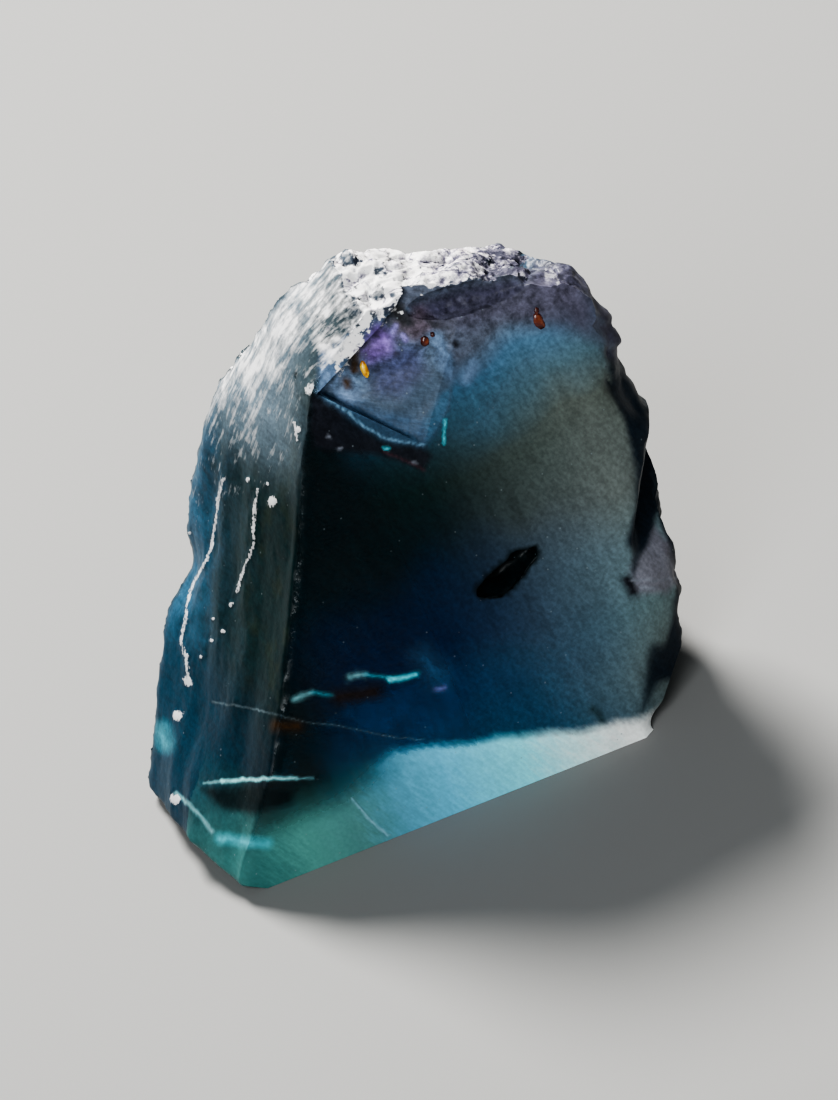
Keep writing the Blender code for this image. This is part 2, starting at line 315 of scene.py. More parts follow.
def gap_grid():
    """How far each spot of the grid is from the nearest fine mark."""
    spots = GRID_LOW + GRID_STEP * np.indices(GRID_SIZE).reshape(2, -1).T
    gaps = [gap_to(spots, path) for path in VEINS]
    gaps += [gap_to(spots, path) for width, _, _, *path in STROKES if width < 0.4]
    gaps += [np.linalg.norm(spots - (u, v), axis=1) for u, v, _ in SPECKS]
    gaps += [abs(depth_in(spots, outline)) for soft, _, _, *outline in AREAS if soft < 0.3]
    return np.min(gaps, axis=0).reshape(GRID_SIZE)


MARK_GAPS = gap_grid()


def near_mark(point, reach):
    """Whether a fine mark passes within reach of where a point is seen."""
    row, column = np.rint((np.array(seen(point)) - GRID_LOW) / GRID_STEP).astype(int)
    if not (0 <= row < GRID_SIZE[0] and 0 <= column < GRID_SIZE[1]):
        return False
    return MARK_GAPS[row, column] < reach


# Mesh of the stone: the area below which a triangle isn't split any further, and the longest
# edge along the rims of the flats

SLIVER = 2e-4
RIM_STEP = 0.3

# The least area of a region of a flat, a triangle's area over its long side squared below which
# it counts as a needle, and how far from its rim a flat has its full relief

LEAST_REGION = 0.01
THIN = 0.02
CALM_RIM = 1.2


def stone_mesh():
    """The CAD stone welded to one closed mesh, in the stone's own millimetres."""
    mesh = bmesh.new()
    mesh.from_mesh(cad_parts["fluorite"].data)
    bmesh.ops.scale(mesh, vec=Vector((1, 1, 1)) / MM, verts=mesh.verts)
    bmesh.ops.translate(mesh, vec=-FOOT_END, verts=mesh.verts)
    bmesh.ops.remove_doubles(mesh, verts=mesh.verts, dist=1e-4)
    mesh.normal_update()
    return mesh


def zones_at(item, zone):
    """The zones of all faces that meet at a vertex or an edge."""
    return {face[zone] for face in item.link_faces}


def mark_flats(mesh):
    """Gives each face the number of its flat, or 0 for the skin."""
    zone = mesh.faces.layers.int.new("flat")
    for name, outward in FLATS.items():
        outward = outward.normalized()
        area = {}
        for face in mesh.faces:
            if face.normal.dot(outward) > 0.9999:
                level = round(face.verts[0].co.dot(outward), 2)
                area[level] = area.get(level, 0) + face.calc_area()
        if not area:
            continue
        main = max(area, key=area.get)
        for face in mesh.faces:
            level = all(abs(vert.co.dot(outward) - main) < 0.012 for vert in face.verts)
            if level and (face.normal.dot(outward) > 0.98 or face.calc_area() < 0.001):
                face[zone] = NUMBER[name]
    return zone


def left_share(outward):
    return fade(outward.dot(LEFT), 0.6, 0.85)


def crown_share(point, outward):
    return fade(outward.z, 0.35, 0.65) * fade(point.z, 21, 26) * (1 - left_share(outward))


def finest(point, outward):
    """The longest edge that the skin may have at a place."""
    if outward.dot(SIGHT) < 0.1 and near_mark(point, 0.5):
        return 0.16
    if crown_share(point, outward) > 0.1:
        return 0.19
    if left_share(outward) > 0.3:
        return 0.33
    return 0.45


def refine(mesh, zone):
    """Halves the edges of the skin and the rims, the longest first, until all are short."""
    outward = {vert: vert.normal.copy() for vert in mesh.verts}
    limit = {vert: finest(vert.co, vert.normal) for vert in mesh.verts}
    queue = []
    order = itertools.count()

    def push(edge):
        length = edge.calc_length()
        zones = zones_at(edge, zone)
        most = min(limit[vert] for vert in edge.verts)
        if len(zones) > 1:
            most = min(most, RIM_STEP)
        splits = all(face.calc_area() > SLIVER for face in edge.link_faces)
        if (SKIN in zones or len(zones) > 1) and splits and length > most:
            heapq.heappush(queue, (-length, next(order), edge))

    for edge in mesh.edges:
        push(edge)
    while queue:
        edge = heapq.heappop(queue)[-1]
        start, end = edge.verts
        _, middle = bmesh.utils.edge_split(edge, start, 0.5)
        outward[middle] = (outward[start] + outward[end]).normalized()
        limit[middle] = finest(middle.co, outward[middle])
        for face in list(middle.link_faces):
            corners = list(face.verts)
            across = corners[(corners.index(middle) + 2) % 4]
            bmesh.utils.face_split(face, middle, across)
        for other in middle.link_edges:
            push(other)


def relax(mesh, weight, rounds, factors):
    """Draws each point towards the middle of its neighbours, by its weight."""
    mesh.verts.index_update()
    weight = np.array(weight, float)
    ends = np.array([[vert.index for vert in edge.verts] for edge in mesh.edges])
    ends = np.concatenate([ends, ends[:, ::-1]])
    start, end = ends[weight[ends[:, 0]] > 0].T
    place = np.array([vert.co for vert in mesh.verts])
    count = len(place)
    pull = 1 / np.maximum(np.linalg.norm(place[start] - place[end], axis=1), 0.05)
    total = np.maximum(np.bincount(start, pull, count), 1e-9)
    for _ in range(rounds):
        for factor in factors:
            for axis in range(3):
                line = place[:, axis]
                near = np.bincount(start, pull * line[end], count) / total
                place[:, axis] += factor * weight * (near - line)
    for vert, point in zip(mesh.verts, place):
        vert.co = point
    mesh.normal_update()


def anywhere(vert):
    return True


def on_left(vert):
    return left_share(vert.normal) > 0.2


def on_near_left(vert):
    """The left side, but for its far rim."""
    return on_left(vert) and (vert.co - ARETE_FOOT).dot(BACKWARD) < 9


def smooth_skin(mesh, zone, rounds, push_back, chosen):
    """Rounds off the skin's facets and pushes it back out, and keeps the rims of the flats."""
    free = [zones_at(vert, zone) == {SKIN} and chosen(vert) for vert in mesh.verts]
    relax(mesh, free, rounds, (0.5, push_back))


def smooth_arete(mesh, zone, rounds):
    """Evens out the rim between the front and the left side, within the front's plane."""
    arete = {}
    for vert in mesh.verts:
        zones = zones_at(vert, zone)
        if zones == {SKIN, NUMBER["front"]} and vert.co.x < 15 and vert.co.z < 24:
            rims = [edge for edge in vert.link_edges if len(zones_at(edge, zone)) > 1]
            arete[vert] = [edge.other_vert(vert) for edge in rims]
    for _ in range(rounds):
        middles = {
            vert: sum((other.co for other in near), Vector()) / len(near)
            for vert, near in arete.items()
        }
        for vert, middle in middles.items():
            vert.co = vert.co.lerp(middle, 0.5)
    mesh.normal_update()


def store_kinds(mesh):
    """Keeps each kind's share at each vertex, evened out over its neighbours."""
    left = mesh.verts.layers.float.new("left")
    crown = mesh.verts.layers.float.new("crown")
    for vert in mesh.verts:
        vert[left] = left_share(vert.normal)
        vert[crown] = crown_share(vert.co, vert.normal)
    for _ in range(8):
        for layer in (left, crown):
            even = [
                sum(edge.other_vert(vert)[layer] for edge in vert.link_edges)
                / len(vert.link_edges)
                for vert in mesh.verts
            ]
            for vert, value in zip(mesh.verts, even):
                vert[layer] = (vert[layer] + value) / 2
    return left, crown


# Relief finer than the grain of the solid

def left_relief(point):
    """Fine ribs along the arete, fading into scales."""
    across = point.dot(BACKWARD)
    along = point.dot(ARETE)
    ribs = noise.noise(Vector((across * 1.1, along * 0.22, 5.0)))
    scales = noise.noise(Vector((across * 1.6, along * 0.9, 8.0)))
    return 0.012 * ribs + 0.03 * scales + 0.02 * noise.noise(point * 2.6)


def crown_relief(point):
    """Flakes of rind, each a little higher or lower, with cracks between them."""
    warped = point + noise.noise_vector(point * 0.6) * 0.8 + noise.noise_vector(point * 2.0) * 0.15
    height = 0.10 * noise.fractal(point * 1.1, 1.0, 2.0, 4)
    for size, step, crack in ((1.7, 0.10, 0.10), (0.75, 0.05, 0.05)):
        spot = Vector((warped.x / (size * 1.3), warped.y / size, warped.z / size))
        distance, nearest = noise.voronoi(spot)
        height += step * noise.cell(nearest[0] * 7.3)
        height -= crack * fade(distance[1] - distance[0], 0.14, 0.0)
    return height


def fracture_relief(point):
    """Hackly broken ground."""
    hackle = noise.noise(Vector((point.dot(BACKWARD) * 0.8, point.dot(ARETE) * 0.9, point.x)))
    return 0.14 * hackle + 0.09 * noise.noise(point * 1.6) + 0.04 * noise.noise(point * 3.4)


def rind_marks(spots):
    """How near flat points are to the white veins and specks, from 0 to 1."""
    share = np.zeros(len(spots))
    for path in VEINS:
        share = np.maximum(share, 0.85 * fade(gap_to(spots, path), VEIN_REACH, 0.0))
    for u, v, radius in SPECKS:
        gap = np.linalg.norm(spots - (u, v), axis=1)
        share = np.maximum(share, fade(gap, radius * 1.4, radius * 0.3))
    return share


def roughen(mesh, zone, left, crown):
    """Gives the skin its fine relief. A rim moves only within its own flat."""
    height = mesh.verts.layers.float.new("height")
    directions = [None, *(outward.normalized() for outward in FLATS.values())]
    raised = 0.05 * rind_marks(np.array([seen(vert.co) for vert in mesh.verts]))
    moves = []
    for vert, mark in zip(mesh.verts, raised):
        zones = zones_at(vert, zone)
        flats = [directions[number] for number in zones if number != SKIN]
        if SKIN not in zones or len(flats) > 1:
            continue
        crust = crown_relief(vert.co) if vert[crown] > 0 else 0
        ribs = left_relief(vert.co) + mark if vert[left] > 0 else 0
        rest = max(0, 1 - 3 * vert[left] - vert[crown])
        vert[height] = vert[crown] * crust
        move = vert.normal * (
            vert[crown] * crust + vert[left] * ribs + rest * fracture_relief(vert.co)
        )
        in_pit = float(fade((vert.co - PIT).length, 3.2, 2.4))
        if in_pit > 0:
            move += noise.noise_vector(vert.co * 0.8) * (0.5 * in_pit)
        if flats:
            move = (move - flats[0] * move.dot(flats[0])) * 0.8
        moves.append((vert, move))
    for vert, move in moves:
        vert.co += move


def inside(points, ends):
    """Which points lie inside a flat outline, given as an array of its edges' two ends."""
    a, b = ends[:, 0], ends[:, 1]
    found = np.zeros(len(points), bool)
    for start in range(0, len(points), 4000):
        p = points[start : start + 4000, None]
        spans = (a[:, 1] > p[..., 1]) != (b[:, 1] > p[..., 1])
        rise = np.where(b[:, 1] == a[:, 1], 1, b[:, 1] - a[:, 1])
        cross = a[:, 0] + (p[..., 1] - a[:, 1]) * (b[:, 0] - a[:, 0]) / rise
        found[start : start + 4000] = (spans & (cross > p[..., 0])).sum(axis=1) % 2 == 1
    return found


def distance_to(points, rim):
    """How far each point is from the nearest point of the rim."""
    tree = kdtree.KDTree(len(rim))
    for number, point in enumerate(rim):
        tree.insert((*point, 0), number)
    tree.balance()
    return np.array([tree.find((*point, 0))[2] for point in points])


def even_grid(low, high, spacing, fine_at):
    """Points in even triangles, twice as close where fine_at says so."""
    step = spacing / 2
    points = []
    for n, y in enumerate(np.arange(low[1], high[1], step * 0.866)):
        for k, x in enumerate(np.arange(low[0], high[0], step)):
            coarse = n % 2 == 0 and k % 2 == n // 2 % 2
            point = (x + (step / 2 if n % 2 else 0), y)
            if coarse or fine_at(point):
                points.append((*point, spacing if coarse else step))
    return np.array(points)


def kept_triangles(spots, triangles, walls, ends):
    """The triangles inside the outline: each region between its walls is judged as a whole."""
    corners = np.array([[tuple(spots[n]) for n in face] for face in triangles])
    a, b = corners[:, 1] - corners[:, 0], corners[:, 2] - corners[:, 0]
    area = abs(a[:, 0] * b[:, 1] - a[:, 1] * b[:, 0]) / 2
    vote = area * (2.0 * inside(corners.mean(axis=1), ends) - 1)
    beside = {}
    for number, face in enumerate(triangles):
        for pair in zip(face, (*face[1:], face[0])):
            if frozenset(pair) not in walls:
                beside.setdefault(frozenset(pair), []).append(number)
    near = [[] for _ in triangles]
    for numbers in beside.values():
        if len(numbers) == 2:
            near[numbers[0]].append(numbers[1])
            near[numbers[1]].append(numbers[0])
    kept = []
    found = set()
    for first in range(len(triangles)):
        if first in found:
            continue
        found.add(first)
        region = [first]
        for number in region:
            for other in near[number]:
                if other not in found:
                    found.add(other)
                    region.append(other)
        if sum(vote[number] for number in region) > LEAST_REGION:
            kept += [triangles[number] for number in region]
    return kept


def flip_slivers(mesh, zone):
    """Turns the long edge of each needle-thin triangle of the flats across to its neighbour."""
    for face in list(mesh.faces):
        if not face.is_valid or face[zone] == SKIN:
            continue
        edge = max(face.edges, key=lambda side: side.calc_length())
        if face.calc_area() > THIN * edge.calc_length() ** 2:
            continue
        number = face[zone]
        if len(edge.link_faces) == 2 and all(f[zone] == number for f in edge.link_faces):
            turned_edge = bmesh.utils.edge_rotate(edge, True)
            if turned_edge:
                for other in turned_edge.link_faces:
                    other[zone] = number


def remesh_flat(mesh, zone, name, spacing, height):
    """Gives a flat even triangles, moved outwards by height(point) away from its rim."""
    number = NUMBER[name]
    faces = [face for face in mesh.faces if face[zone] == number]
    if not faces:
        return
    members = set(faces)
    outward = FLATS[name].normalized()
    u = outward.orthogonal().normalized()
    v = outward.cross(u)
    edges = dict.fromkeys(edge for face in faces for edge in face.edges)
    rim_edges = [edge for edge in edges if sum(f in members for f in edge.link_faces) == 1]
    rim = sorted({vert for edge in rim_edges for vert in edge.verts}, key=lambda x: x.index)
    place = {vert: n for n, vert in enumerate(rim)}
    flat = np.array([(vert.co.dot(u), vert.co.dot(v)) for vert in rim])
    pairs = np.array([[place[vert] for vert in edge.verts] for edge in rim_edges])
    ends = flat[pairs]
    level = float(np.mean([vert.co.dot(outward) for vert in rim]))
    in_view = outward.dot(SIGHT) < -0.1

    def fine_at(point):
        return in_view and near_mark(u * point[0] + v * point[1] + outward * level, 0.4)

    grid = even_grid(flat.min(axis=0), flat.max(axis=0), spacing, fine_at)
    points = flat
    if len(grid):
        grid = grid[inside(grid[:, :2], ends)]
    if len(grid):
        clear = distance_to(grid[:, :2], flat) > grid[:, 2] * 0.55
        points = np.concatenate([flat, grid[clear, :2]])
    spots, lines, triangles, sources, line_sources, _ = geometry.delaunay_2d_cdt(
        [Vector(point) for point in points], pairs.tolist(), [], 0, 1e-6
    )
    walls = {frozenset(line) for line, source in zip(lines, line_sources) if source}
    bmesh.ops.delete(mesh, geom=faces, context="FACES_ONLY")
    loose = [edge for edge in edges if edge.is_valid and not edge.link_faces]
    bmesh.ops.delete(mesh, geom=loose, context="EDGES")
    free = distance_to([tuple(spot) for spot in spots], flat)
    verts = []
    for spot, source, gap in zip(spots, sources, free):
        first = min(source) if source else len(rim)
        if first < len(rim):
            verts.append(rim[first])
            continue
        point = u * spot.x + v * spot.y + outward * level
        verts.append(mesh.verts.new(point + outward * height(point) * fade(gap, 0, CALM_RIM)))
    flaps = []
    for face in kept_triangles(spots, triangles, walls, ends):
        loop = [verts[n] for n in face]
        behind = mesh.faces.get(loop)
        if behind:
            flaps.append(behind)
        else:
            mesh.faces.new(loop)[zone] = number
    bmesh.ops.delete(mesh, geom=flaps, context="FACES")
    mesh.verts.index_update()


def frost(point):
    """Very low swells and slanting scratches of the front."""
    swell = noise.noise(point * 0.35)
    a, b = point.dot(LEVEL), point.dot(UP_FRONT)
    scratches = noise.noise(Vector((a * 1.9 + b * 1.0, a * 0.25 - b * 0.5, 1.0)))
    return 0.035 * swell + 0.012 * scratches


def grain(point):
    """Slanting grain of the strip."""
    return 0.02 * noise.noise(Vector((point.x * 1.9 + point.z * 1.1, point.z * 0.4, 3.0)))


def ripples(point):
    """Shell-shaped waves of a chip, around the point where it was struck."""
    reach = (point - on_front(18.0, 31.0)).length
    return 0.03 * math.sin(reach * 2.3 + noise.noise(point * 0.5) * 2)


def still(point):
    return 0.0


# The flats that are meshed again: how closely, and their relief

NEW_FLATS = (
    ("base", 1.5, still),
    ("front", 0.32, frost),
    ("strip", 0.32, grain),
    ("lobe_front", 0.32, frost),
    ("lobe_corner", 0.32, frost),
    ("lobe_under", 0.6, frost),
    ("left_under", 0.4, frost),
    ("foot_corner", 0.4, frost),
    ("chip_floor", 0.28, ripples),
    ("chip_wall", 0.3, still),
    ("chip_brow", 0.3, still),
    ("ledge", 0.4, still),
    ("cheek", 0.4, still),
)


def close_gaps(mesh, zone):
    """Fills what few small holes are left between the flats."""
    rim = [edge for edge in mesh.edges if edge.is_boundary]
    filled = bmesh.ops.holes_fill(mesh, edges=rim, sides=0)["faces"]
    for face in filled:
        face[zone] = NUMBER["chip_floor"]
    bmesh.ops.triangulate(mesh, faces=filled)


def below_crown(vert):
    """The front's rim below the crown, but for the rim of the pit."""
    return vert.co.z < 23.5 and (vert.co - PIT).length > 4


def under_crown(vert):
    """The front's upper rim, where the crown ends on it."""
    return vert.co.z >= 23.5 and 19.5 < vert.co.x < 28.5


# Rims that are worn round: the two sides, how far the rounding reaches, how many times it is
# evened out, and which vertices of the rim

SOFT_RIMS = (
    ("front", "lobe_front", 2.4, 40, anywhere),
    ("lobe_front", "lobe_corner", 1.6, 30, anywhere),
    ("front", "lobe_corner", 1.6, 30, anywhere),
    ("front", "strip", 1.0, 12, anywhere),
    ("front", "skin", 0.9, 24, below_crown),
    ("front", "skin", 1.1, 30, under_crown),
    ("chip_floor", "chip_wall", 0.4, 6, anywhere),
    ("strip", "skin", 0.6, 8, anywhere),
    ("lobe_corner", "skin", 0.8, 12, anywhere),
    ("lobe_front", "skin", 0.8, 12, anywhere),
    ("left_under", "skin", 0.5, 8, anywhere),
    ("ledge", "lobe_front", 0.5, 6, anywhere),
)


def soften(mesh, zone):
    """Wears the soft rims round, and gives the points that lie on them."""
    number = {**NUMBER, "skin": SKIN}
    base = NUMBER["base"]
    zones = [zones_at(vert, zone) for vert in mesh.verts]
    worn = set()
    for one, other, reach, rounds, chosen in SOFT_RIMS:
        pair = {number[one], number[other]}
        rim = [v.index for v, found in zip(mesh.verts, zones) if pair <= found and chosen(v)]
        if not rim:
            continue
        worn.update(rim)
        tree = kdtree.KDTree(len(rim))
        mesh.verts.ensure_lookup_table()
        for index in rim:
            tree.insert(mesh.verts[index].co, index)
        tree.balance()
        weight = [
            0 if base in found else fade(tree.find(vert.co)[2], reach, 0)
            for vert, found in zip(mesh.verts, zones)
        ]
        relax(mesh, weight, rounds, (0.5,))
    return worn


def build_mesh():
    """The whole stone: the CAD shape, its fine relief and even flats."""
    mesh = stone_mesh()
    zone = mark_flats(mesh)
    refine(mesh, zone)
    smooth_skin(mesh, zone, rounds=6, push_back=-0.53, chosen=anywhere)
    smooth_arete(mesh, zone, rounds=120)
    smooth_skin(mesh, zone, rounds=60, push_back=-0.30, chosen=on_left)
    smooth_skin(mesh, zone, rounds=60, push_back=-0.10, chosen=on_near_left)
    left, crown = store_kinds(mesh)
    roughen(mesh, zone, left, crown)
    for name, spacing, height in NEW_FLATS:
        remesh_flat(mesh, zone, name, spacing, height)
    close_gaps(mesh, zone)
    flip_slivers(mesh, zone)
    mesh.normal_update()
    return mesh, zone


# Shares that the material reads, and where the painted glow of the strip at the front's foot bends and
# how high it is there

SHARES = ("rind", "vein", "haze", "above", "leftness", "back", "side", "relief", "pit", "chip")

STRIP_BEND = 10.3
STRIP_HEIGHT = 5.95


def strip_top(x):
    """The height at which the painted glow of the strip along the front's foot ends."""
    if x > STRIP_BEND:
        return STRIP_HEIGHT - 0.33 * (x - STRIP_BEND)
    return STRIP_HEIGHT - 0.05 * (STRIP_BEND - max(x, 0)) + 0.6 * min(x, 0)


def rind_share(vert, left, crown):
    """How much white rind covers a place of the skin, but for the veins."""
    point, outward = vert.co, vert.normal
    along = (point - ARETE_FOOT).dot(ARETE)
    across = (point - ARETE_FOOT).dot(BACKWARD)
    height = along + 0.45 * across - 2.6 * fade(across, 4.5, 1.0)
    veil = 0.34 * fade(height, 22.5, 27.5) + 0.16 * fade(height, 27.5, 31.0)
    veil += 0.48 * fade(height, 31.0, 34.5)
    right = 0.38 * fade(outward.x, 0.3, 0.6) * fade(point.z, 19.5, 24.0)
    patch = fade(noise.noise(point * 0.22), -0.1, 0.35)
    back = (0.12 + 0.4 * patch) * fade(outward.y, 0.1, 0.5)
    back += 0.25 * fade(point.z, 18, 27) * fade(outward.y, 0, 0.5)
    return min(1.0, max(vert[crown], vert[left] * veil, back, right))


def paint(spots):
    """The colour of the marks at flat points, how fully they cover it, and the areas' cover."""
    colour = np.zeros((len(spots), 3))
    cover = np.zeros(len(spots))
    shares = [
        (strength * fade(depth_in(spots, outline), -soft, soft), tone)
        for soft, tone, strength, *outline in AREAS
    ]
    areas = np.max([share for share, _ in shares], axis=0)
    shares += [
        (fade(gap_to(spots, path), width / 2 + soft, width / 2 - soft / 2), tone)
        for width, soft, tone, *path in STROKES
    ]
    for share, tone in shares:
        colour += share[:, None] * (np.array(tone) - colour)
        cover += share * (1 - cover)
    return colour / np.maximum(cover, 1e-6)[:, None], cover, areas


def write_shares(mesh, zone, data):
    """Stores the shares and the marks at the vertices of the finished mesh."""
    left, crown, height = (
        mesh.verts.layers.float[name] for name in ("left", "crown", "height")
    )
    wander = [
        noise.noise_vector(vert.co * 1.3) * 0.09 + noise.noise_vector(vert.co * 4.0) * 0.04
        for vert in mesh.verts
    ]
    spots = np.array([seen(vert.co + move) for vert, move in zip(mesh.verts, wander)])
    in_view = np.array([fade(vert.normal.dot(SIGHT), 0.1, -0.1) for vert in mesh.verts])
    colour, cover, areas = paint(spots)
    overhang = 0.85 * fade(depth_in(spots, OVERHANG), -0.5, 0.7) * in_view
    veins = rind_marks(spots) * in_view
    rows = []
    for vert, vein, area, hung in zip(mesh.verts, veins, areas * in_view, overhang):
        zones = zones_at(vert, zone)
        skin = float(SKIN in zones)
        point, outward = vert.co, vert.normal
        drift = 1.5 * noise.noise(point * 0.2)
        waver = 0.3 * noise.noise(Vector((point.x * 0.45, 0, 7)))
        behind = (FOOT_CORNER - point).dot(FRONT)
        bare = max(0.0, 1 - 1.15 * area)
        rows.append((
            max(hung, skin * rind_share(vert, left, crown) * bare),
            vein * vert[left],
            min(max((point.x + drift - 15.5) / 13.0, 0), 1) ** 1.6,
            point.z - strip_top(point.x) + waver if behind < 8 else 9.0,
            skin * vert[left],
            skin * fade(outward.y, 0.05, 0.4),
            skin * fade(outward.x, 0.4, 0.65) * fade(behind, 0.25, 0.8),
            vert[height],
            # Painted shade in the pit
            skin * fade((point - PIT).length, 2.7, 2.2),
            float(NUMBER["chip_floor"] in zones),
        ))
    for name, column in zip(SHARES, zip(*rows)):
        column = np.array(column, float)
        data.attributes.new(name, "FLOAT", "POINT").data.foreach_set("value", column)
    marks = np.concatenate([colour, (cover * in_view)[:, None]], axis=1)
    data.attributes.new("marks", "FLOAT_COLOR", "POINT").data.foreach_set("color", marks.ravel())


def stone_object(material):
    mesh, zone = build_mesh()
    worn = soften(mesh, zone)
    sharp = [
        len(zones_at(edge, zone)) > 1
        and not all(vert.index in worn for vert in edge.verts)
        for edge in mesh.edges
    ]
    for face in mesh.faces:
        face.smooth = face[zone] != NUMBER["base"]
    data = bpy.data.meshes.new("crystal")
    mesh.to_mesh(data)
    data.attributes.new("sharp_edge", "BOOLEAN", "EDGE").data.foreach_set("value", sharp)
    write_shares(mesh, zone, data)
    mesh.free()
    return placed("crystal", data, material)


def added(name, data):
    """A new object of the scene."""
    made = bpy.data.objects.new(name, data)
    bpy.context.scene.collection.objects.link(made)
    return made


def placed(name, data, material):
    """A piece of the stone made of this mesh, moved to the frame and riding on its body."""
    data.transform(Matrix.Scale(MM, 4) @ Matrix.Translation(FOOT_END))
    data.materials.append(material)
    piece = added(name, data)
    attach(piece, "root")
    return piece


# Grains of other minerals that show in the chip and in the front

def on_plane(spot, point, outward):
    """The point of a plane that is seen at a flat spot."""
    start = SIDEWAYS * spot[0] + UP_SIGHT * spot[1]
    return start + SIGHT * ((point - start).dot(outward) / SIGHT.dot(outward))


def grains(name, lumps, plane, material):
    """One piece holding angular grains: (spot, width, height, tilt), half sunk in a plane."""
    point, outward = plane
    outward = outward.normalized()
    upward = (UP_SIGHT - outward * UP_SIGHT.dot(outward)).normalized()
    mesh = bmesh.new()
    for spot, width, height, tilt in lumps:
        up = turned(upward, upward.cross(outward), tilt)
        right = up.cross(outward)
        made = bmesh.ops.create_icosphere(mesh, subdivisions=3, radius=1)["verts"]
        middle = on_plane(spot, point, outward)
        for vert in made:
            corner = noise.cell_vector(vert.co * 1.4 + Vector(middle)) * 0.22
            shape = vert.co * (1 + 0.25 * noise.noise(vert.co * 1.7 + middle)) + corner * 0.5
            vert.co = (
                middle + right * (shape.x * width / 2) + up * (shape.y * height / 2)
                + outward * (shape.z * 0.12)
            )
    bmesh.ops.recalc_face_normals(mesh, faces=mesh.faces)
    for face in mesh.faces:
        face.smooth = True
    data = bpy.data.meshes.new(name)
    mesh.to_mesh(data)
    mesh.free()
    return placed(name, data, material)


# Colour bands: where each tone stands on its ramp, and its red, green and blue

DEEP_BANDS = (
    (0.10, 0.012, 0.09, 0.17), (0.20, 0.006, 0.055, 0.14),
    (0.30, 0.003, 0.028, 0.095), (0.42, 0.003, 0.028, 0.075),
    (0.50, 0.003, 0.022, 0.030), (0.60, 0.005, 0.028, 0.027),
    (0.65, 0.018, 0.060, 0.080), (0.73, 0.06, 0.15, 0.26),
    (0.80, 0.11, 0.13, 0.19),
)
PALE_BANDS = (
    (0.10, 0.19, 0.24, 0.23), (0.24, 0.17, 0.26, 0.27),
    (0.34, 0.17, 0.24, 0.26), (0.46, 0.17, 0.20, 0.19),
    (0.62, 0.14, 0.165, 0.145), (0.67, 0.11, 0.19, 0.23),
    (0.74, 0.11, 0.22, 0.33), (0.80, 0.13, 0.15, 0.19),
)
LEFT_BANDS = (
    (0.00, 0.003, 0.020, 0.022), (0.30, 0.006, 0.028, 0.030),
    (0.55, 0.014, 0.045, 0.060), (0.75, 0.030, 0.095, 0.155),
    (1.00, 0.05, 0.16, 0.26),
)
# The strip at the front's foot: its pale frosted tone, with a painted glow of the light that comes
# through the stone
STRIP_GLOW_BANDS = (
    (0.00, 0.06, 0.20, 0.19), (0.12, 0.13, 0.36, 0.32),
    (0.24, 0.12, 0.29, 0.28), (0.34, 0.15, 0.41, 0.54),
    (0.45, 0.19, 0.60, 0.80), (0.62, 0.31, 0.87, 0.97),
    (0.74, 0.70, 0.96, 0.96), (0.84, 0.93, 0.95, 0.92),
)
RIND_BANDS = (
    (0.22, 0.06, 0.06, 0.09), (0.32, 0.20, 0.19, 0.25),
    (0.39, 0.56, 0.54, 0.58), (0.47, 0.92, 0.90, 0.89),
)
AMBER_BANDS = (
    (0.35, 0.55, 0.20, 0.02), (0.48, 0.95, 0.55, 0.03),
    (0.62, 1.0, 0.78, 0.15),
)
RUST_BANDS = (
    (0.40, 0.035, 0.008, 0.006), (0.55, 0.12, 0.022, 0.012),
    (0.66, 0.22, 0.06, 0.025),
)

# Other tones of the materials

DARK_GREEN = (0.003, 0.020, 0.025)
MOSS = (0.016, 0.030, 0.019)
LOW_NEAR = (0.003, 0.018, 0.028)
LOW_FAR = (0.008, 0.050, 0.090)
MILK = (0.19, 0.25, 0.30)
PINK = (0.92, 0.78, 0.74)
BACK_DARK = (0.008, 0.042, 0.062)
BACK_PALE = (0.046, 0.105, 0.125)
FLANK_DARK = (0.008, 0.016, 0.022)
FLANK_PALE = (0.06, 0.08, 0.14)
# Grey of the painted sparkles, tiny glints on the front
SPARKLE_GREY = (0.30, 0.36, 0.38)
FLOOR_GREY = (0.21, 0.21, 0.205)

# How light passes through the crystal and the grains

CRYSTAL_IOR = 1.434
CRYSTAL_GLOSS = 0.2
THROUGH_TONE = (0.09, 0.68, 0.76)
THROUGH_DENSITY = 330.0
GRAIN_IOR = 1.6


# Materials

def joined_by(operation):
    return lambda value, other: value.nodes.math(operation, value, other)


class Value:
    """A number, colour or direction inside a material, for plain sums."""

    __add__ = joined_by("ADD")
    __sub__ = joined_by("SUBTRACT")
    __mul__ = joined_by("MULTIPLY")
    __truediv__ = joined_by("DIVIDE")

    def __init__(self, nodes, socket):
        self.nodes = nodes
        self.socket = socket

    def __rsub__(self, other):
        return self.nodes.math("SUBTRACT", other, self)


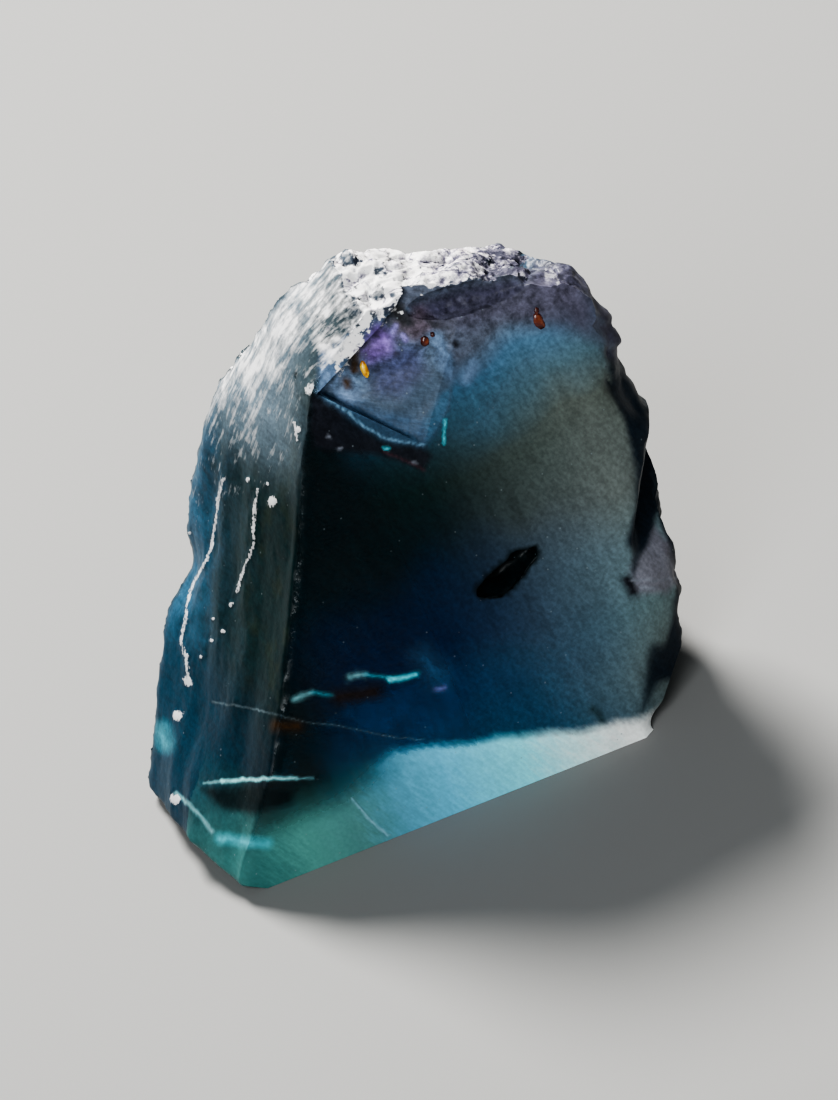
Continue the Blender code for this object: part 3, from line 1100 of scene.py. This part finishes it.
class Nodes:
    """Short ways to add and join shader nodes."""

    def __init__(self, material):
        material.use_nodes = True
        self.tree = material.node_tree
        self.tree.nodes.clear()

    def add(self, kind, values, **settings):
        node = self.tree.nodes.new("ShaderNode" + kind)
        for name, value in settings.items():
            setattr(node, name, value)
        for socket, value in values.items():
            self.put(node.inputs[socket], value)
        return node

    def put(self, socket, value):
        if isinstance(value, Value):
            self.tree.links.new(value.socket, socket)
        elif socket.type == "RGBA":
            socket.default_value = (*value, 1)
        else:
            socket.default_value = value

    def value(self, kind, output, values, **settings):
        """One output of a new node."""
        return Value(self, self.add(kind, values, **settings).outputs[output])

    def math(self, operation, *values, clamp=False):
        return self.value("Math", 0, dict(enumerate(values)), operation=operation, use_clamp=clamp)

    def most(self, value, shares):
        """The greatest of a value and of shares, each times its own weight."""
        for share, weight in shares:
            value = self.math("MAXIMUM", value, share * weight)
        return value

    def mix(self, share, a, b, blend="MIX"):
        return self.value("Mix", 2, {0: share, 6: a, 7: b}, data_type="RGBA", blend_type=blend)

    def ramp(self, value, bands):
        node = self.add("ValToRGB", {0: value})
        for n, (place, *colour) in enumerate(bands):
            stop = node.color_ramp.elements[n] if n < 2 else node.color_ramp.elements.new(place)
            stop.position = place
            stop.color = (*colour, 1)
        return Value(self, node.outputs[0])

    def noise(self, vector, scale, detail=3.0, rough=0.55):
        values = {"Vector": vector, "Scale": scale, "Detail": detail, "Roughness": rough}
        return self.value("TexNoise", "Fac", values)

    def share(self, name, output="Fac"):
        return self.value("Attribute", output, {}, attribute_name=name)

    def span(self, value, low, high, to_low=0.0, to_high=1.0):
        """A smooth climb from one value to another, between low and high."""
        values = {0: value, 1: low, 2: high, 3: to_low, 4: to_high}
        return self.value("MapRange", 0, values, interpolation_type="SMOOTHSTEP")

    def dot(self, vector, direction):
        values = {0: vector, 1: tuple(direction)}
        return self.value("VectorMath", "Value", values, operation="DOT_PRODUCT")

    def along(self, vector, *directions):
        """The vector's reach along each of up to three directions, whose lengths scale it."""
        reaches = {n: self.dot(vector, direction) for n, direction in enumerate(directions)}
        return self.value("CombineXYZ", 0, reaches)

    def place(self):
        """The place in the stone's own millimetres."""
        return self.value("Mapping", 0, {
            "Vector": self.value("TexCoord", "Object", {}),
            "Scale": (1 / MM, 1 / MM, 1 / MM),
            "Location": tuple(-FOOT_END),
        })


def clear_colour(n, place, x, z):
    """Growth bands of the crystal, darkest at mid height, paler and greyer to the right."""
    drift = (n.noise(place, 0.16, 1.0) - 0.5) * 6.0
    band = (z + drift) / 34.0
    deep = n.ramp(band, DEEP_BANDS)
    pale = n.ramp(band, PALE_BANDS)
    by_arete = n.span(x, 10.0, 5.0) * n.span(z, 24.0, 18.0)
    by_chip = n.span(x, 17.0, 13.0) * n.span(z, 16.0, 20.0)
    dark = n.math("MAXIMUM", by_arete, by_chip)
    return n.mix(dark, n.mix(n.share("haze"), deep, pale), DARK_GREEN)


def left_colour(n, place, z):
    """The left side: dark green by the arete, bluer towards its far rim, milky higher up."""
    across = n.dot(place, BACKWARD) - ARETE_FOOT.dot(BACKWARD)
    mottle = (n.noise(place, 0.7, 4.0, 0.65) - 0.5) * 9.0
    tone = n.ramp((across + mottle) / 17.0, LEFT_BANDS)
    moss = n.span(n.noise(place, 0.45, 3.0, 0.6), 0.5, 0.68) * n.span(across, 9.0, 4.0)
    tone = n.mix(moss * 0.7, tone, MOSS)
    low = n.mix(n.math("DIVIDE", across, 15.0, clamp=True), LOW_NEAR, LOW_FAR)
    tone = n.mix(n.span(z, 13.0, 7.5), tone, low)
    milky = n.span(z, 20.5, 25.5, 0.0, 0.85) * n.span(across, 0.0, 5.0, 0.3, 1.0)
    return n.mix(milky, tone, MILK), milky


def rind_look(n, place, leftness, speckle):
    """Where the white rind shows, and its colour with grey cracks, painted shade in the low places of its
    relief and a touch of pink.
    """
    ribbed = n.along(
        place,
        BACKWARD * 0.9 + ARETE * 0.44,
        (ARETE * 0.9 - BACKWARD * 0.44) * 0.17,
        LEFT * 0.5,
    )
    streaks = n.noise(ribbed, 3.0, 6.0, 0.66)
    fine = n.noise(place, 5.0, 3.0, 0.6)
    clump = (n.noise(place, 0.5, 3.0, 0.6) - 0.5) * 0.45
    mottle = speckle + leftness * 0.70 * (streaks - speckle) + leftness * clump
    need = (1.0 - n.share("rind")) * 1.06
    reach = leftness * 0.58 + 0.12 + n.share("back") * 0.25
    mask = n.math("DIVIDE", n.span(mottle, 0.30, 0.70) - need, reach, clamp=True)
    broken = n.share("vein") + (fine - 0.5) * 1.5 + (speckle - 0.5) * 0.9
    mask = n.most(mask, ((n.span(broken, 0.58, 0.78), 0.85),))

    warp = n.value("TexNoise", "Color", {"Vector": place, "Scale": 0.9, "Detail": 3.0})
    warped = n.value("VectorMath", 0, {0: place, 1: warp}, operation="ADD")
    warped = n.along(warped, SIDEWAYS * 0.6, AWAY * 0.9, UPRIGHT * 0.9)
    plates = n.value("TexVoronoi", "Distance", {"Vector": warped, "Scale": 0.75},
                     feature="DISTANCE_TO_EDGE")
    crack = n.span(plates, 0.06, 0.0) * (1.0 - leftness)
    # Painted shade: the rind is darker where its relief is low
    blotch = n.noise(place, 1.1, 6.0, 0.75) + n.share("relief") * 0.38
    blotch = blotch + n.span(n.dot(place, SIDEWAYS), 18.0, 30.0, 0.06, -0.22)
    colour = n.ramp(blotch - crack * 0.13, RIND_BANDS)
    pink = n.span(n.noise(place, 0.35, 2.0), 0.55, 0.75, 0.0, 0.35)
    return mask, n.mix(pink, colour, PINK, "MULTIPLY")


def crystal_material():
    """Clear blue-green crystal in colour bands, with white rind, veins and marks."""
    material = bpy.data.materials.new("crystal")
    n = Nodes(material)
    place = n.place()
    x = n.value("SeparateXYZ", "X", {0: place})
    z = n.value("SeparateXYZ", "Z", {0: place})
    leftness, back, chip = n.share("leftness"), n.share("back"), n.share("chip")
    speckle = n.noise(place, 1.5, 5.0, 0.7)
    speck = n.noise(place, 4.2, 2.0, 0.5)
    scratch = n.noise(n.along(
        place, LEVEL * 3.6 + UP_FRONT * 1.9, LEVEL * 0.4 - UP_FRONT * 0.8, FRONT * 0.5
    ), 1.0, 3.0, 0.6)
    brushed = n.noise(n.along(
        place, LEVEL * 1.8, UP_FRONT * 0.09, FRONT * 0.3
    ), 1.0, 3.0, 0.6)
    hatch = n.noise(n.along(
        place, LEVEL * 2.4 + UP_FRONT * 4.2, LEVEL * 0.5 - UP_FRONT * 0.3, FRONT * 0.5
    ), 1.0, 3.0, 0.6)

    # Colours of the clear crystal, the left side, the back, the strip at the foot with its painted glow,
    # and the right side
    left_tone, milky = left_colour(n, place, z)
    colour = n.mix(leftness, clear_colour(n, place, x, z), left_tone)
    broken = n.span(n.noise(place, 0.4, 4.0, 0.6), 0.3, 0.7)
    colour = n.mix(back * 0.8, colour, n.mix(broken, BACK_DARK, BACK_PALE))
    above = n.share("above")
    ragged = scratch - 0.5
    sharp = n.span(above + ragged * 0.7, 0.45, -0.45)
    soft = n.span(above + ragged * 0.5, 1.4, -3.0)
    # Where the strip's painted glow covers the front
    foot_glow = soft + n.span(x, 6.0, 12.0) * (sharp - soft)
    colour = n.mix(foot_glow, colour, n.ramp((x + ragged * 3.0) / 28.0, STRIP_GLOW_BANDS))
    side = n.share("side") * n.span(above, -0.5, 0.5)
    patchy = n.span(z, 20.0, 24.0) * n.span(speckle, 0.4, 0.6)
    colour = n.mix(side, colour, n.mix(patchy, FLANK_DARK, FLANK_PALE))

    # The pit's painted shade and the marks, among them painted glints and painted shade, then mottling,
    # scratches, hatching of the chip, and painted sparkles
    colour = n.mix(n.share("pit"), colour, SHADE_BLACK)
    marked = n.share("marks", "Alpha")
    colour = n.mix(marked, colour, n.share("marks", "Color"))
    shade = n.span(scratch, 0.25, 0.75, 0.88, 1.12) * n.span(speck, 0.25, 0.75, 0.82, 1.18)
    shade = shade * n.span(brushed, 0.3, 0.7, 0.90, 1.10)
    shade = shade + foot_glow * 0.65 * (1.0 - shade)
    shade = shade * (chip * n.span(hatch, 0.3, 0.7, -0.17, 0.17) + 1.0)
    rough_band = n.span(z, 24.5, 27.5) * n.span(speckle, 0.3, 0.7, -0.45, 0.75)
    shade = shade * (rough_band * (1.0 - leftness) + 1.0)
    shade = n.value("CombineXYZ", 0, {0: shade, 1: shade, 2: shade})
    colour = n.mix(1.0, colour, shade, "MULTIPLY")
    # Painted sparkles: tiny pale dots
    sparkle_dots = n.value("TexVoronoi", "Distance", {"Vector": place, "Scale": 1.15})
    colour = n.mix(n.span(sparkle_dots, 0.085, 0.03, 0.0, 0.5), colour, SPARKLE_GREY)

    # The rind over it, how cloudy and how rough each place is, and the fine tooth
    rind, rind_colour = rind_look(n, place, leftness, speckle)
    cover = rind * n.span(leftness, 0.2, 0.8, 1.0, 0.82)
    cloud = n.most(n.span(x, 12.0, 27.0, 0.45, 0.80), (
        (leftness, 0.72), (foot_glow, 0.85), (back, 0.75), (leftness * milky, 1.0), (marked, 0.9),
        (rind, 1.0),
    ))
    rough = n.most(n.span(x, 8.0, 24.0, 0.17, 0.42), (
        (leftness, 0.46), (foot_glow, 0.34), (back, 0.5), (side, 0.4), (rind, 0.8), (chip, 0.3),
    ))
    tooth = scratch * 0.5 + speckle * 0.5 + speck * 0.4
    shader = n.value("BsdfPrincipled", 0, {
        "Base Color": n.mix(cover, colour, rind_colour),
        "IOR": CRYSTAL_IOR,
        "Specular IOR Level": CRYSTAL_GLOSS,
        "Transmission Weight": n.math("SUBTRACT", 1.0, cloud, clamp=True),
        "Roughness": rough,
        "Normal": n.value("Bump", 0, {"Height": tooth, "Strength": 0.35, "Distance": 0.00008}),
    })
    through = {"Color": THROUGH_TONE, "Density": THROUGH_DENSITY}
    volume = n.value("VolumeAbsorption", 0, through)
    n.add("OutputMaterial", {"Surface": shader, "Volume": volume})
    return material


def grain_material(name, bands, transmission):
    """A small glassy grain, mottled between tones."""
    material = bpy.data.materials.new(name)
    n = Nodes(material)
    mottle = n.noise(n.place(), 1.6, 3.0, 0.6)
    n.add("OutputMaterial", {"Surface": n.value("BsdfPrincipled", 0, {
        "Base Color": n.ramp(mottle, bands),
        "IOR": GRAIN_IOR,
        "Transmission Weight": transmission,
        "Roughness": n.span(mottle, 0.3, 0.7, 0.35, 0.18),
    })})
    return material


def floor_material():
    material = bpy.data.materials.new("floor")
    n = Nodes(material)
    shader = n.value("BsdfPrincipled", 0, {"Base Color": FLOOR_GREY, "Roughness": 0.7})
    n.add("OutputMaterial", {"Surface": shader})
    return material


def mineral_grains():
    """The grains, each as a spot, width, height and tilt."""
    chip = (CHIP_TIP, FLATS["chip_floor"])
    front = (FOOT_CORNER, FRONT)
    amber = grain_material("amber", AMBER_BANDS, 0.1)
    grains("amber_grain", (((17.05, 26.7), 0.42, 1.15, 6),), chip, amber)
    rust = grain_material("rust", RUST_BANDS, 0.0)
    grains("rust_grains", (
        ((21.0, 26.9), 0.50, 0.62, 20),
        ((21.6, 27.1), 0.28, 0.30, 0),
    ), chip, rust)
    grains("rust_diamond", (
        ((27.8, 25.5), 0.62, 1.10, -8),
        ((27.9, 26.1), 0.28, 0.50, 12),
    ), front, rust)


# The round floor, in metres, and how far it lies under the stone, in millimetres

FLOOR_RADIUS = 1.6
FLOOR_DROP = 0.02


def floor():
    mesh = bmesh.new()
    bmesh.ops.create_circle(mesh, cap_ends=True, segments=96, radius=FLOOR_RADIUS)
    data = bpy.data.meshes.new("floor")
    mesh.to_mesh(data)
    mesh.free()
    made = added("floor", data)
    made.location.z = -FLOOR_DROP * MM
    data.materials.append(floor_material())


def area_light(name, place, size, power, colour):
    data = bpy.data.lights.new(name, "AREA")
    data.shape = "DISK"
    data.size = size
    data.energy = power
    data.color = colour
    light = added(name, data)
    light.location = place
    light.rotation_mode = "QUATERNION"
    light.rotation_quaternion = (Vector(LIGHT_AIM) - Vector(place)).to_track_quat("-Z", "Y")


# Soft lights, in metres: where all aim, where each stands, its width, power and colour, and the
# even light from all round

LIGHT_AIM = (0, 0, 0.015)
LIGHTS = (
    ("key", (-0.05, 0.42, 0.44), 0.2, 9.0, (1.0, 0.98, 0.95)),
    ("fill", (-0.25, -0.6, 0.5), 0.5, 5.0, (0.95, 0.98, 1.0)),
)
SKY_LIGHT = (0.88, 0.92, 0.96, 1)
SKY_POWER = 0.2


def lights():
    for light in LIGHTS:
        area_light(*light)
    world = bpy.data.worlds.new("studio")
    world.use_nodes = True
    sky = world.node_tree.nodes["Background"]
    sky.inputs["Color"].default_value = SKY_LIGHT
    sky.inputs["Strength"].default_value = SKY_POWER
    bpy.context.scene.world = world
    bpy.context.scene.view_settings.look = "AgX - High Contrast"


# The camera: how far it is rolled about its own axis, how much of the stone's height the picture
# spans, how far away it stands and what is at its middle

ROLL = 21.7
VIEW_HEIGHT = 66.0
DISTANCE = 600.0
AIM = on_front(16.1, 16.5)


def camera():
    data = bpy.data.cameras.new("camera")
    data.sensor_width = 36
    data.lens = 36 * DISTANCE / VIEW_HEIGHT
    data.clip_start = 0.01
    data.clip_end = 10
    made = added("camera", data)
    back = -SIGHT
    up = turned(back.cross(SIDEWAYS), SIDEWAYS, ROLL)
    right = up.cross(back)
    made.matrix_world = Matrix.Translation((AIM + FOOT_END + back * DISTANCE) * MM) @ Matrix(
        (right, up, back)
    ).transposed().to_4x4()
    bpy.context.scene.camera = made


camera()
lights()
floor()
stone = stone_object(crystal_material())
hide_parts("fluorite")
mineral_grains()
